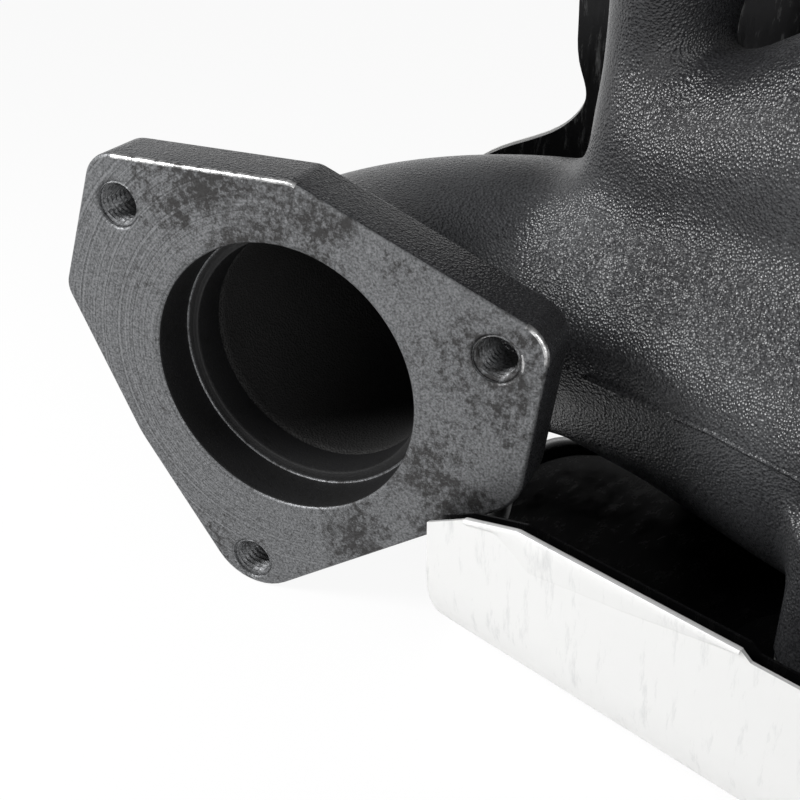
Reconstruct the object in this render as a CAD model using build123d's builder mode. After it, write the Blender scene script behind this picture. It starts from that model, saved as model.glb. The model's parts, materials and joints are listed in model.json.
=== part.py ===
"""Cast-iron exhaust manifold with a two-skin heat shield, as an assembly of separate pieces.

Millimetres. The origin is the centre of the outlet bore on its machined face. +X runs along the
log away from the outlet, +Y away from the outlet face, and +Z towards the cylinder head.
"""

import os
from math import cos, radians, sin

from build123d import *

os.makedirs("parts", exist_ok=True)

# ---------------------------------------------------------------- driving dimensions

# outlet flange
OUTLET_TURN = 20.0  # degrees the outlet face is turned towards the log
FLANGE_THICKNESS = 14.0
OUTLET_BORE_R = 29.6
PILOT_R = 32.4  # counterbore that centres the downpipe
PILOT_DEPTH = 12.0
STUD_CIRCLE_R = 53.1
STUD_START_ANGLE = 18.0
STUD_TAP_R = 4.25  # M10 tapping drill
FLANGE_EDGE_CHAMFER = 0.8

# elbow and log
WALL = 5.4
ELBOW_R = OUTLET_BORE_R + WALL
ELBOW_BEND_R = 45.0
ELBOW_STRAIGHT = 27.0  # from the face to the start of the bend
ELBOW_ANGLE = 90.0 + OUTLET_TURN
PASSAGE_OVERSHOOT = 2.0  # the gas passages are cut this far past their open ends

# ports
PORT_COUNT = 4
PORT_PITCH = 112.0
PORT_1_X = 42.0
PORT_Y = 82.0
HEAD_FACE_Z = 105.0
PORT_HALF_X = 18.0  # outside of the duct wall at the port
PORT_HALF_Y = 23.0
PAD_THICKNESS = 12.0
PAD_EAR_OFFSET = 31.0
PAD_EAR_R = 10.5
PAD_CROWN_R = 15.0
PAD_CROWN_OFFSET = 15.0
HEAD_BOLT_R = 4.5

# heat shield
SHIELD_NEAR_Y = 8.0
SHIELD_FAR_Y = 129.6
SHIELD_BOTTOM_Z = -59.0
SHIELD_TOP_Z = 88.0
SHIELD_END_X = 405.0
SHIELD_CORNER_R = 30.0
SHIELD_BOTTOM_R = 22.0
OUTER_SKIN = 0.8
MAT = 2.4
INNER_SKIN = 0.6
LAYERS = OUTER_SKIN + MAT + INNER_SKIN
LIP_TOP_Z = -20.0
SEAM_Z = -34.0
SEAM_GAP = 2.0
MAT_SETBACK = 3.0
LINER_SETBACK = 1.5  # the pan's inner skin stops short at the outlet end, clear of the mating flange
SHIELD_SPLIT_Y = 60.0  # the pan's rim is low on the near side of this, the rear wall stands beyond it
SHIELD_LEFT_X = -60.0  # the pan's blank runs out past its left-hand trim
WRAP_ANGLE = 56.0  # degrees the rear wall follows round the elbow
EDGE_ANGLE = 33.0  # where its left-hand edge is laid out

# shield fasteners
BOLT_R = 3.0
BOLT_TAP_R = 3.05
BOLT_GRIP = 14.0  # thread length in the casting
HEAD_ACROSS_FLATS = 10.0
HEAD_HEIGHT = 6.0
HEAD_FLANGE_R = 6.5
HEAD_FLANGE_HEIGHT = 1.4
WASHER_R = 12.0
WASHER_THICKNESS = 1.5
SLEEVE_R = 4.8
SLEEVE_BORE_R = 3.2
SHIELD_HOLE_R = 5.0
CUSHION_R = 10.0
CUSHION_THICKNESS = 3.0
BOSS_R = 10.5
POCKET_R = 16.0
POCKET_DEPTH = 9.0
RIVET_R = 1.6
RIVET_HEAD_R = 3.2
RIVET_HEAD_HEIGHT = 1.2
RIVET_HOLE_R = 1.7
RIVET_Z = -27.0

# where the bosses end, so that cushion and shield just fill the space to the outside of the shield
REAR_OUTSIDE_Y = SHIELD_FAR_Y - OUTER_SKIN  # the rear wall sits inside the pan's lip
REAR_BOSS_Y = REAR_OUTSIDE_Y - LAYERS - CUSHION_THICKNESS
POCKET_FLOOR_Z = SHIELD_BOTTOM_Z + POCKET_DEPTH
PAN_BOSS_Z = POCKET_FLOOR_Z + LAYERS + CUSHION_THICKNESS
BOSS_DEPTH = 16.0

# ---------------------------------------------------------------- planes and stations

turn = radians(OUTLET_TURN)
outlet = Plane(origin=(0, 0, 0), x_dir=(cos(turn), sin(turn), 0), z_dir=(sin(turn), -cos(turn), 0))
into_pipe = Vector(-sin(turn), cos(turn), 0)
bend_start = into_pipe * ELBOW_STRAIGHT
bend_centre = bend_start + Vector(cos(turn), sin(turn), 0) * ELBOW_BEND_R
log_start = bend_centre + Vector(0, ELBOW_BEND_R, 0)
port_xs = [PORT_1_X + PORT_PITCH * i for i in range(PORT_COUNT)]

# A duct station is (x, y, z, climb, half_y, half_rise): the centre of one oval section, the angle
# at which the duct climbs towards the port in degrees, and the section's half sizes.
log_stations = [
    (log_start.X, log_start.Y, 0, 0, ELBOW_R, ELBOW_R),
    (60, 85.6, -1, -4, 35.8, 36),
    (95, 84.6, -5, -5, 36.6, 38),
    (145, 83, -9, -3, 37, 38),
    (215, PORT_Y, -11, 0, 36, 36.5),
    (285, PORT_Y, -10, 4, 33, 33.5),
    (332, PORT_Y, -2, 22, 30, 29),
    (360, PORT_Y, 17, 52, 26.5, 25),
    (374, PORT_Y, 45, 78, 23, 20.5),
    (port_xs[3], PORT_Y, 75, 90, 21.5, 18),
    (port_xs[3], PORT_Y, HEAD_FACE_Z, 90, PORT_HALF_Y, PORT_HALF_X),
]
first_runner_stations = [
    (29, 84.5, 8, 84, 22, 19),
    (32.5, 84, 42, 85, 18.5, 15.5),
    (36.5, 83, 72, 83, 17, 14.5),
    (41, PORT_Y, 92, 86, 21.5, 17),
    (port_xs[0], PORT_Y, HEAD_FACE_Z, 90, PORT_HALF_Y, PORT_HALF_X),
]
# the two middle runners sweep down towards the outlet; x is measured from the port's centre
sweeping_runner_stations = [
    (-106, 85, 6, 20, 22, 20),
    (-84, 84, 32, 26, 20, 30),
    (-56, 83, 52, 31, 18.5, 33),
    (-28, PORT_Y, 70, 43, 18, 26),
    (-7, PORT_Y, 88, 69, 20.5, 20),
    (0, PORT_Y, HEAD_FACE_Z, 90, PORT_HALF_Y, PORT_HALF_X),
]

rear_bolt_spots = [(104, -4), (216, -6), (322, -4)]  # x, z on the rear wall
pan_bolt_spots = [(112, 51), (224, 51), (330, 52)]  # x, y on the bottom
rivet_xs = [60 + 62 * i for i in range(6)]

# rims of the pan: (x, z) along the near wall, and (x, y) down the left-hand end
near_rim = [(-100, -23), (38, -23), (49, -17), (63, -13), (113, -13), (115, -14.5), (500, -14.5)]
pan_left_end = [(38, -100), (38, 14), (33, 32), (18, 56), (5, 86), (9, 97), (30, 114), (33, 200)]

# the rear wall's edge at the elbow, seen square on at EDGE_ANGLE round the bend: (along, z)
elbow_edge = [
    (4, -37),
    (26, -14),
    (33, 6),
    (18.3, 24.6),
    (5.5, 29.4),
    (-4, 35),
    (-7.4, 41),
    (-5.2, 50),
    (-4, 62),
    (-3.5, 76),
    (-3, 90),
]
edge_turn = radians(EDGE_ANGLE)
edge_out = Vector(-sin(edge_turn), cos(edge_turn), 0)
elbow_side = Plane(
    origin=bend_centre + edge_out * (REAR_OUTSIDE_Y - bend_centre.Y),
    x_dir=(-cos(edge_turn), -sin(edge_turn), 0),
    z_dir=edge_out,
)

# bolt seats on the outside of the shield, z_dir pointing away from the casting
rear_seats = [Plane(origin=(x, REAR_OUTSIDE_Y, z), x_dir=(1, 0, 0), z_dir=(0, 1, 0)) for x, z in rear_bolt_spots]
pan_seats = [Plane(origin=(x, y, POCKET_FLOOR_Z), x_dir=(1, 0, 0), z_dir=(0, 0, -1)) for x, y in pan_bolt_spots]


def duct_sections(stations, shift=0.0, wall=0.0):
    """Returns the oval faces of a duct, moved along X by shift and shrunk by wall."""
    faces = []
    for x, y, z, climb, half_y, half_rise in stations:
        rise = radians(climb)
        plane = Plane(origin=(x + shift, y, z), x_dir=(0, 1, 0), z_dir=(cos(rise), 0, sin(rise)))
        with BuildSketch(plane) as section:
            with BuildLine():
                EllipticalCenterArc((0, 0), half_y - wall, half_rise - wall, start_angle=0, arc_size=180)
                EllipticalCenterArc((0, 0), half_y - wall, half_rise - wall, start_angle=180, arc_size=180)
            make_face()
        faces.append(section.sketch)
    return faces


def gas_sections(stations, shift=0.0):
    """Returns a duct's sections inside its wall, carried on past the head face."""
    x, y, z, climb, half_y, half_rise = stations[-1]
    mouth = (x, y, z + PASSAGE_OVERSHOOT, climb, half_y, half_rise)
    return duct_sections(stations[:-1] + [mouth], shift=shift, wall=WALL)


def elbow_path(start):
    """Returns the elbow's centreline from a distance behind the outlet face to the log."""
    with BuildLine() as path:
        straight = Line(into_pipe * start, bend_start)
        JernArc(straight @ 1, straight % 1, ELBOW_BEND_R, -ELBOW_ANGLE)
    return path.wire()


# ---------------------------------------------------------------- casting

with BuildPart() as manifold_casting:
    # outlet flange: a three-lobed plate with unequal corners
    with BuildSketch(outlet) as flange_outline:
        with BuildLine():
            FilletPolyline(
                (-45.5, 47),
                (5, 47),
                (62.3, 23),
                (57.2, -16.6),
                (-13.4, -64.4),
                (-41, -23),
                (-57.5, 13),
                radius=[8, 6, 8, 12, 13.5, 30, 6],
                close=True,
            )
        make_face()
    extrude(amount=-FLANGE_THICKNESS)
    front_edges = manifold_casting.edges().filter_by(lambda e: abs(outlet.to_local_coords(e.center()).Z) < 0.01)
    chamfer(front_edges, FLANGE_EDGE_CHAMFER)

    # outside of the elbow, the log and the runners
    with BuildSketch(Plane(origin=into_pipe * 6, z_dir=into_pipe)) as elbow_outside:
        Circle(ELBOW_R)
    sweep(sections=elbow_outside.sketch, path=elbow_path(6))
    loft(sections=duct_sections(log_stations))
    loft(sections=duct_sections(first_runner_stations))
    for port_x in port_xs[1:3]:
        loft(sections=duct_sections(sweeping_runner_stations, shift=port_x))

    # head pads: a diamond plate round each port
    for port_x in port_xs:
        with BuildSketch(Plane.XY.offset(HEAD_FACE_Z - PAD_THICKNESS)):
            with Locations((port_x - PAD_EAR_OFFSET, PORT_Y), (port_x + PAD_EAR_OFFSET, PORT_Y)):
                Circle(PAD_EAR_R)
            with Locations((port_x, PORT_Y - PAD_CROWN_OFFSET), (port_x, PORT_Y + PAD_CROWN_OFFSET)):
                Circle(PAD_CROWN_R)
            make_hull()
        extrude(amount=PAD_THICKNESS)

    # bosses for the shield bolts
    for x, z in rear_bolt_spots:
        with BuildSketch(Plane(origin=(x, REAR_BOSS_Y, z), x_dir=(1, 0, 0), z_dir=(0, -1, 0))):
            Circle(BOSS_R)
        extrude(amount=REAR_BOSS_Y - PORT_Y - BOSS_DEPTH)
    for x, y in pan_bolt_spots:
        with BuildSketch(Plane(origin=(x, y, PAN_BOSS_Z), z_dir=(0, 0, 1))):
            Circle(BOSS_R)
        extrude(amount=BOSS_DEPTH)

    # gas passages, open at the outlet and at every port
    with BuildSketch(Plane(origin=into_pipe * -PASSAGE_OVERSHOOT, z_dir=into_pipe)) as elbow_inside:
        Circle(OUTLET_BORE_R)
    sweep(sections=elbow_inside.sketch, path=elbow_path(-PASSAGE_OVERSHOOT), mode=Mode.SUBTRACT)
    loft(sections=gas_sections(log_stations), mode=Mode.SUBTRACT)
    loft(sections=gas_sections(first_runner_stations), mode=Mode.SUBTRACT)
    for port_x in port_xs[1:3]:
        loft(sections=gas_sections(sweeping_runner_stations, shift=port_x), mode=Mode.SUBTRACT)

    # machined holes: pilot bore and stud holes in the outlet, head bolt holes, shield bolt holes
    with BuildSketch(outlet):
        Circle(PILOT_R)
    extrude(amount=-PILOT_DEPTH, mode=Mode.SUBTRACT)
    with BuildSketch(outlet):
        with PolarLocations(STUD_CIRCLE_R, 3, start_angle=STUD_START_ANGLE):
            Circle(STUD_TAP_R)
    extrude(amount=-FLANGE_THICKNESS, mode=Mode.SUBTRACT)
    with BuildSketch(Plane.XY.offset(HEAD_FACE_Z)):
        for port_x in port_xs:
            with Locations((port_x - PAD_EAR_OFFSET, PORT_Y), (port_x + PAD_EAR_OFFSET, PORT_Y)):
                Circle(HEAD_BOLT_R)
    extrude(amount=-PAD_THICKNESS, mode=Mode.SUBTRACT)
    for x, z in rear_bolt_spots:
        with BuildSketch(Plane(origin=(x, REAR_BOSS_Y, z), x_dir=(1, 0, 0), z_dir=(0, -1, 0))):
            Circle(BOLT_TAP_R)
        extrude(amount=BOLT_GRIP, mode=Mode.SUBTRACT)
    for x, y in pan_bolt_spots:
        with BuildSketch(Plane(origin=(x, y, PAN_BOSS_Z), z_dir=(0, 0, 1))):
            Circle(BOLT_TAP_R)
        extrude(amount=BOLT_GRIP, mode=Mode.SUBTRACT)


# ---------------------------------------------------------------- heat shield sheets


def pan_form(inset):
    """Returns the filled form of the pan, its faces moved in by inset."""
    length = SHIELD_END_X - SHIELD_LEFT_X - 2 * inset
    width = SHIELD_FAR_Y - SHIELD_NEAR_Y - 2 * inset
    centre = ((SHIELD_END_X + SHIELD_LEFT_X) / 2, (SHIELD_FAR_Y + SHIELD_NEAR_Y) / 2)
    with BuildPart() as form:
        with BuildSketch(Plane.XY.offset(SHIELD_BOTTOM_Z + inset)):
            with Locations(centre):
                RectangleRounded(length, width, SHIELD_CORNER_R - inset)
        extrude(amount=SHIELD_TOP_Z - SHIELD_BOTTOM_Z)
        fillet(form.edges().group_by(Axis.Z)[0], SHIELD_BOTTOM_R - inset)
    return form.part


def pan_sheet(outside, inside, far_top, setback=0.0, end_setback=0.0):
    """Returns one sheet of the pan between two insets, trimmed to its rims and bolt pockets."""
    with BuildPart() as sheet:
        add(pan_form(outside))
        add(pan_form(inside), mode=Mode.SUBTRACT)
        # near rim, stepped down past the hemmed length
        with BuildSketch(Plane.XZ):
            with BuildLine():
                Polyline(*[(x, z - setback) for x, z in near_rim], (500, 200), (-100, 200), close=True)
            make_face()
        extrude(amount=-SHIELD_SPLIT_Y, mode=Mode.SUBTRACT)
        # far lip
        with BuildSketch(Plane.XZ.offset(-SHIELD_SPLIT_Y)):
            with BuildLine():
                Polyline((-100, far_top), (500, far_top), (500, 200), (-100, 200), close=True)
            make_face()
        extrude(amount=-SHIELD_SPLIT_Y * 2, mode=Mode.SUBTRACT)
        # left-hand end, open under the elbow
        with BuildSketch(Plane.XY.offset(SHIELD_BOTTOM_Z - 1)):
            with BuildLine():
                Polyline(*[(x + end_setback, y) for x, y in pan_left_end], (-100, 200), (-100, -100), close=True)
            make_face()
        extrude(amount=300, mode=Mode.SUBTRACT)
        # pockets that sink the bolt heads above the bottom
        with BuildSketch(Plane.XY.offset(SHIELD_BOTTOM_Z + outside)):
            with Locations(*pan_bolt_spots):
                Circle(POCKET_R + inside)
        extrude(amount=POCKET_DEPTH + inside - outside)
        with BuildSketch(Plane.XY.offset(SHIELD_BOTTOM_Z - 1)):
            with Locations(*pan_bolt_spots):
                Circle(POCKET_R + outside)
        extrude(amount=POCKET_DEPTH + outside + 1, mode=Mode.SUBTRACT)
        with BuildSketch(Plane.XY.offset(SHIELD_BOTTOM_Z)):
            with Locations(*pan_bolt_spots):
                Circle(SHIELD_HOLE_R)
        extrude(amount=POCKET_DEPTH * 2, mode=Mode.SUBTRACT)
        # rivet holes along the far lip
        with BuildSketch(Plane.XZ.offset(-SHIELD_SPLIT_Y)):
            with Locations(*[(x, RIVET_Z) for x in rivet_xs]):
                Circle(RIVET_HOLE_R)
        extrude(amount=-SHIELD_SPLIT_Y * 2, mode=Mode.SUBTRACT)
    return sheet.part


def rear_sheet(outside, inside, setback=0.0):
    """Returns one sheet of the rear wall: straight, round the far end and round the elbow."""
    ends = []
    with BuildPart() as sheet:
        with BuildSketch(Plane.XY.offset(SEAM_Z)):
            with BuildLine():
                for inset in (outside, inside):
                    far = SHIELD_FAR_Y - inset
                    far_line = Line((bend_centre.X, far), (SHIELD_END_X - SHIELD_CORNER_R, far))
                    end_corner = JernArc(far_line @ 1, (1, 0), SHIELD_CORNER_R - inset, -90)
                    end_line = Line(end_corner @ 1, (SHIELD_END_X - inset, SHIELD_SPLIT_Y))
                    wrap = JernArc(far_line @ 0, (-1, 0), far - bend_centre.Y, WRAP_ANGLE)
                    ends.append((wrap @ 1, end_line @ 1))
                Line(ends[0][0], ends[1][0])
                Line(ends[0][1], ends[1][1])
            make_face()
        extrude(amount=SHIELD_TOP_Z - SEAM_Z - setback)
        # the edge that flares out round the elbow
        with BuildSketch(elbow_side):
            with BuildLine():
                edge = Spline(*[(s - setback, z) for s, z in elbow_edge])
                Polyline(edge @ 1, (90, SHIELD_TOP_Z + 5), (90, SEAM_Z - 5), edge @ 0)
            make_face()
        extrude(amount=40, both=True, mode=Mode.SUBTRACT)
        with BuildSketch(Plane.XZ.offset(-SHIELD_SPLIT_Y)):
            with Locations(*rear_bolt_spots):
                Circle(SHIELD_HOLE_R)
            with Locations(*[(x, RIVET_Z) for x in rivet_xs]):
                Circle(RIVET_HOLE_R)
        extrude(amount=-SHIELD_SPLIT_Y * 2, mode=Mode.SUBTRACT)
    return sheet.part


with BuildPart() as pan_outer_skin:
    add(pan_sheet(0, OUTER_SKIN, LIP_TOP_Z))

with BuildPart() as pan_insulation:
    add(
        pan_sheet(
            OUTER_SKIN,
            OUTER_SKIN + MAT,
            SEAM_Z - SEAM_GAP,
            setback=MAT_SETBACK,
            end_setback=MAT_SETBACK,
        )
    )

with BuildPart() as pan_inner_skin:
    add(pan_sheet(OUTER_SKIN + MAT, LAYERS, SEAM_Z - SEAM_GAP, end_setback=LINER_SETBACK))

with BuildPart() as rear_outer_skin:
    add(rear_sheet(OUTER_SKIN, 2 * OUTER_SKIN))

with BuildPart() as rear_insulation:
    add(rear_sheet(2 * OUTER_SKIN, 2 * OUTER_SKIN + MAT, setback=MAT_SETBACK))

with BuildPart() as rear_inner_skin:
    add(rear_sheet(2 * OUTER_SKIN + MAT, OUTER_SKIN + LAYERS))


# ---------------------------------------------------------------- fasteners


def flange_bolts(seats):
    """Returns one flanged hexagon bolt for each seat plane, clamping down on the washer."""
    with BuildPart() as bolts:
        for seat in seats:
            with BuildSketch(seat.offset(WASHER_THICKNESS)):
                Circle(HEAD_FLANGE_R)
            extrude(amount=HEAD_FLANGE_HEIGHT)
            with BuildSketch(seat.offset(WASHER_THICKNESS)):
                RegularPolygon(HEAD_ACROSS_FLATS / 2, 6, major_radius=False)
            extrude(amount=HEAD_HEIGHT)
            with BuildSketch(seat.offset(WASHER_THICKNESS)):
                Circle(BOLT_R)
            extrude(amount=-(WASHER_THICKNESS + LAYERS + CUSHION_THICKNESS + BOLT_GRIP - 1))
    return bolts.part


def rings(seats, start, thickness, outer_r, inner_r):
    """Returns a flat ring at each seat, from start behind or ahead of the seat plane."""
    with BuildPart() as group:
        for seat in seats:
            with BuildSketch(seat.offset(start)):
                Circle(outer_r)
                Circle(inner_r, mode=Mode.SUBTRACT)
            extrude(amount=thickness)
    return group.part


with BuildPart() as pan_bolts:
    add(flange_bolts(pan_seats))

with BuildPart() as rear_bolts:
    add(flange_bolts(rear_seats))

with BuildPart() as pan_washers:
    add(rings(pan_seats, 0, WASHER_THICKNESS, WASHER_R, SLEEVE_BORE_R))

with BuildPart() as rear_washers:
    add(rings(rear_seats, 0, WASHER_THICKNESS, WASHER_R, SLEEVE_BORE_R))

with BuildPart() as pan_sleeves:
    add(rings(pan_seats, -LAYERS - CUSHION_THICKNESS, LAYERS + CUSHION_THICKNESS, SLEEVE_R, SLEEVE_BORE_R))

with BuildPart() as rear_sleeves:
    add(rings(rear_seats, -LAYERS - CUSHION_THICKNESS, LAYERS + CUSHION_THICKNESS, SLEEVE_R, SLEEVE_BORE_R))

with BuildPart() as pan_cushions:
    add(rings(pan_seats, -LAYERS - CUSHION_THICKNESS, CUSHION_THICKNESS, CUSHION_R, SLEEVE_R))

with BuildPart() as rear_cushions:
    add(rings(rear_seats, -LAYERS - CUSHION_THICKNESS, CUSHION_THICKNESS, CUSHION_R, SLEEVE_R))

with BuildPart() as seam_rivets:
    for x in rivet_xs:
        rivet = Plane(origin=(x, SHIELD_FAR_Y, RIVET_Z), x_dir=(1, 0, 0), z_dir=(0, 1, 0))
        with BuildSketch(rivet):
            Circle(RIVET_HEAD_R)
        extrude(amount=RIVET_HEAD_HEIGHT)
        with BuildSketch(rivet):
            Circle(RIVET_R)
        extrude(amount=-(OUTER_SKIN + LAYERS))
        with BuildSketch(rivet.offset(-(OUTER_SKIN + LAYERS))):
            Circle(RIVET_HEAD_R)
        extrude(amount=-RIVET_HEAD_HEIGHT)

# ---------------------------------------------------------------- labels and files

manifold_casting.part.label = "manifold_casting"
pan_outer_skin.part.label = "pan_outer_skin"
pan_insulation.part.label = "pan_insulation"
pan_inner_skin.part.label = "pan_inner_skin"
rear_outer_skin.part.label = "rear_outer_skin"
rear_insulation.part.label = "rear_insulation"
rear_inner_skin.part.label = "rear_inner_skin"
pan_bolts.part.label = "pan_bolts"
rear_bolts.part.label = "rear_bolts"
pan_washers.part.label = "pan_washers"
rear_washers.part.label = "rear_washers"
pan_sleeves.part.label = "pan_sleeves"
rear_sleeves.part.label = "rear_sleeves"
pan_cushions.part.label = "pan_cushions"
rear_cushions.part.label = "rear_cushions"
seam_rivets.part.label = "seam_rivets"

export_step(manifold_casting.part, "parts/manifold_casting.step")
export_step(pan_outer_skin.part, "parts/pan_outer_skin.step")
export_step(pan_insulation.part, "parts/pan_insulation.step")
export_step(pan_inner_skin.part, "parts/pan_inner_skin.step")
export_step(rear_outer_skin.part, "parts/rear_outer_skin.step")
export_step(rear_insulation.part, "parts/rear_insulation.step")
export_step(rear_inner_skin.part, "parts/rear_inner_skin.step")
export_step(pan_bolts.part, "parts/pan_bolts.step")
export_step(rear_bolts.part, "parts/rear_bolts.step")
export_step(pan_washers.part, "parts/pan_washers.step")
export_step(rear_washers.part, "parts/rear_washers.step")
export_step(pan_sleeves.part, "parts/pan_sleeves.step")
export_step(rear_sleeves.part, "parts/rear_sleeves.step")
export_step(pan_cushions.part, "parts/pan_cushions.step")
export_step(rear_cushions.part, "parts/rear_cushions.step")
export_step(seam_rivets.part, "parts/seam_rivets.step")
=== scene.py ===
"""Cast-iron exhaust manifold with its heat shield: geometry, finishes and studio.

Sizes are in millimetres until a mesh is written; Blender's own units are metres. The origin is the
centre of the outlet bore on its machined face, +X runs along the log, +Z towards the cylinder head.
"""
import json
import logging
from dataclasses import dataclass, field
from enum import Enum
from math import cos, pi, radians, sin, tau
from typing import Any, Sequence

import bmesh
import bpy
import numpy as np
from mathutils import Matrix, Vector


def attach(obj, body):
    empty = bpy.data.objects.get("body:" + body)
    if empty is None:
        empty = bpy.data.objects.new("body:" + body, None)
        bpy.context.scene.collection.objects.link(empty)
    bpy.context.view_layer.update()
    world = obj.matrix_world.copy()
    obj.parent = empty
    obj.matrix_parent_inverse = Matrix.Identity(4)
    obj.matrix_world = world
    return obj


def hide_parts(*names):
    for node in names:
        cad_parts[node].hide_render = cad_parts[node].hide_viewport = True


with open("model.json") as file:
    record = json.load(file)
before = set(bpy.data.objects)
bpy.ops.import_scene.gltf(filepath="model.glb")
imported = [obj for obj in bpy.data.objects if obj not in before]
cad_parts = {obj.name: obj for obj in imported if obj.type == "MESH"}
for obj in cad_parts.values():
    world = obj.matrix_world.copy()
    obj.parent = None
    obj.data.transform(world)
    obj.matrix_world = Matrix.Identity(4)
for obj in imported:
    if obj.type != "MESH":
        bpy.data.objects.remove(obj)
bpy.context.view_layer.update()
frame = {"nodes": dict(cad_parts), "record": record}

LOG = logging.getLogger("manifold")
MM = 0.001
Array = np.ndarray
Pair = tuple[float, float]
Point = tuple[float, float, float]
Station = tuple[float, ...]
Material = bpy.types.Material
Tree = bpy.types.NodeTree
Socket = bpy.types.NodeSocket
Piece = bpy.types.Object
ROOT_BODY = "root"
WHITE = (1.0, 1.0, 1.0, 1.0)

OUTLET_TURN = radians(20.0)
OUTLET_NORMAL = np.array((sin(OUTLET_TURN), -cos(OUTLET_TURN), 0.0))
OUTLET_RIGHT = np.array((cos(OUTLET_TURN), sin(OUTLET_TURN), 0.0))
UP = np.array((0.0, 0.0, 1.0))


class Slot(Enum):
    """The part's material slots."""

    IRON = "cast_iron"
    OUTER_SKIN = "aluminised_steel"
    INNER_SKIN = "liner_steel"
    MAT = "ceramic_mat"
    PLATED = "zinc_steel"
    WIRE = "wire_mesh"


# ---------------------------------------------------------------------------- colour and nodes


def linear(hex_colour: str) -> tuple[float, float, float, float]:
    """Turns an sRGB hex colour into the linear colour that a shader takes.

    Args:
        hex_colour: a colour such as "#8A8C8E".

    Returns:
        Red, green, blue and an alpha of 1.
    """
    channels = [int(hex_colour[i:i + 2], 16) / 255 for i in (1, 3, 5)]
    light = [c / 12.92 if c <= 0.04045 else ((c + 0.055) / 1.055) ** 2.4 for c in channels]
    return (light[0], light[1], light[2], 1.0)


def per_metre(size_mm: float) -> float:
    """Returns the texture scale at which one feature is size_mm wide."""
    return 1000.0 / size_mm


def add_node(
    tree: Tree, kind: str, inputs: dict[Any, Any] | None = None, **settings: Any
) -> bpy.types.Node:
    """Adds one shader node with its settings and links.

    Args:
        tree: the material's node tree.
        kind: the node type without its "ShaderNode" prefix.
        inputs: socket name or index to a value, or to the output socket that feeds it.
        settings: attributes of the node itself.

    Returns:
        The new node.
    """
    made = tree.nodes.new("ShaderNode" + kind)
    for name, value in settings.items():
        setattr(made, name, value)
    for socket, value in (inputs or {}).items():
        if isinstance(value, Socket):
            tree.links.new(value, made.inputs[socket])
        else:
            made.inputs[socket].default_value = value
    return made


def blank_material(name: str) -> tuple[Material, Tree, Socket]:
    """Starts a material with nothing in it but the piece's own coordinates.

    Args:
        name: the material's name.

    Returns:
        The material, its node tree and the socket of the coordinates, in metres.
    """
    material = bpy.data.materials.new(name)
    material.use_nodes = True
    tree = material.node_tree
    tree.nodes.clear()
    place = add_node(tree, "TexCoord")
    return material, tree, place.outputs["Object"]


def close_material(
    tree: Tree, colour: Any, roughness: Any, bump: Any, metallic: float, specular: float = 0.5,
) -> None:
    """Adds the surface shader and the output.

    Args:
        tree: the tree to close.
        colour: a colour, or the socket that makes one.
        roughness: a number, or the socket that makes one.
        bump: the normal output of the last bump.
        metallic: how far the surface reflects as bare metal.
        specular: how strongly a film of oil or oxide mirrors, 0.5 for plain gloss.
    """
    inputs = {
        "Base Color": colour, "Roughness": roughness, "Metallic": metallic, "Normal": bump,
        "Specular IOR Level": specular,
    }
    shader = add_node(tree, "BsdfPrincipled", inputs)
    add_node(tree, "OutputMaterial", {"Surface": shader.outputs["BSDF"]})


# ---------------------------------------------------------------------------- finishes


@dataclass(frozen=True)
class SandCastIron:
    """Grey cast iron as it leaves a sand mould, oiled dark.

    Sand leaves a pebbled skin about a grain deep, so highlights break up into sparks; burnt-on
    patches and handling give slow changes of tone. Core sand is 0.2 to 0.4 mm across, and is drawn
    at 0.62 mm so that single grains show.
    """

    name: str = "sand_cast_iron"
    skin: str = "#262628"
    worn: str = "#434446"
    grain_mm: float = 0.55
    sand_mm: float = 0.62
    sand_depth_mm: float = 0.22
    peel_mm: float = 2.4
    peel_depth_mm: float = 0.14
    patch_mm: float = 38.0
    metallic: float = 0.08
    roughness: float = 0.27
    specular: float = 0.5

    def build(self) -> Material:
        """Makes the material.

        Returns:
            The material, ready for a piece.
        """
        material, tree, place = blank_material(self.name)
        sizes = ((self.patch_mm, 4.0), (self.grain_mm, 3.0), (self.peel_mm, 2.0))
        patch, grain, peel = (
            add_node(tree, "TexNoise", {"Vector": place, "Scale": per_metre(size), "Detail": fine})
            for size, fine in sizes
        )
        mixed = add_node(tree, "Math", {
            0: patch.outputs["Fac"], 1: grain.outputs["Fac"],
        }, operation="MULTIPLY")
        tone = add_node(tree, "MapRange", {
            "Value": mixed.outputs[0], "From Min": 0.17, "From Max": 0.38,
        })
        colour = add_node(tree, "Mix", {
            0: tone.outputs[0], 6: linear(self.skin), 7: linear(self.worn),
        }, data_type="RGBA")
        rough = add_node(tree, "MapRange", {
            "Value": grain.outputs["Fac"], "From Min": 0.3, "From Max": 0.7,
            "To Min": self.roughness - 0.08, "To Max": self.roughness + 0.14,
        })
        sand = add_node(tree, "TexVoronoi", {"Vector": place, "Scale": per_metre(self.sand_mm)})
        coarse = add_node(tree, "Bump", {
            "Height": peel.outputs["Fac"], "Strength": 0.4, "Distance": self.peel_depth_mm * MM,
        })
        fine = add_node(tree, "Bump", {
            "Height": sand.outputs["Distance"], "Strength": 1.0,
            "Distance": self.sand_depth_mm * MM, "Normal": coarse.outputs[0],
        })
        gloss = (self.metallic, self.specular)
        close_material(tree, colour.outputs[2], rough.outputs[0], fine.outputs[0], *gloss)
        return material


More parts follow.
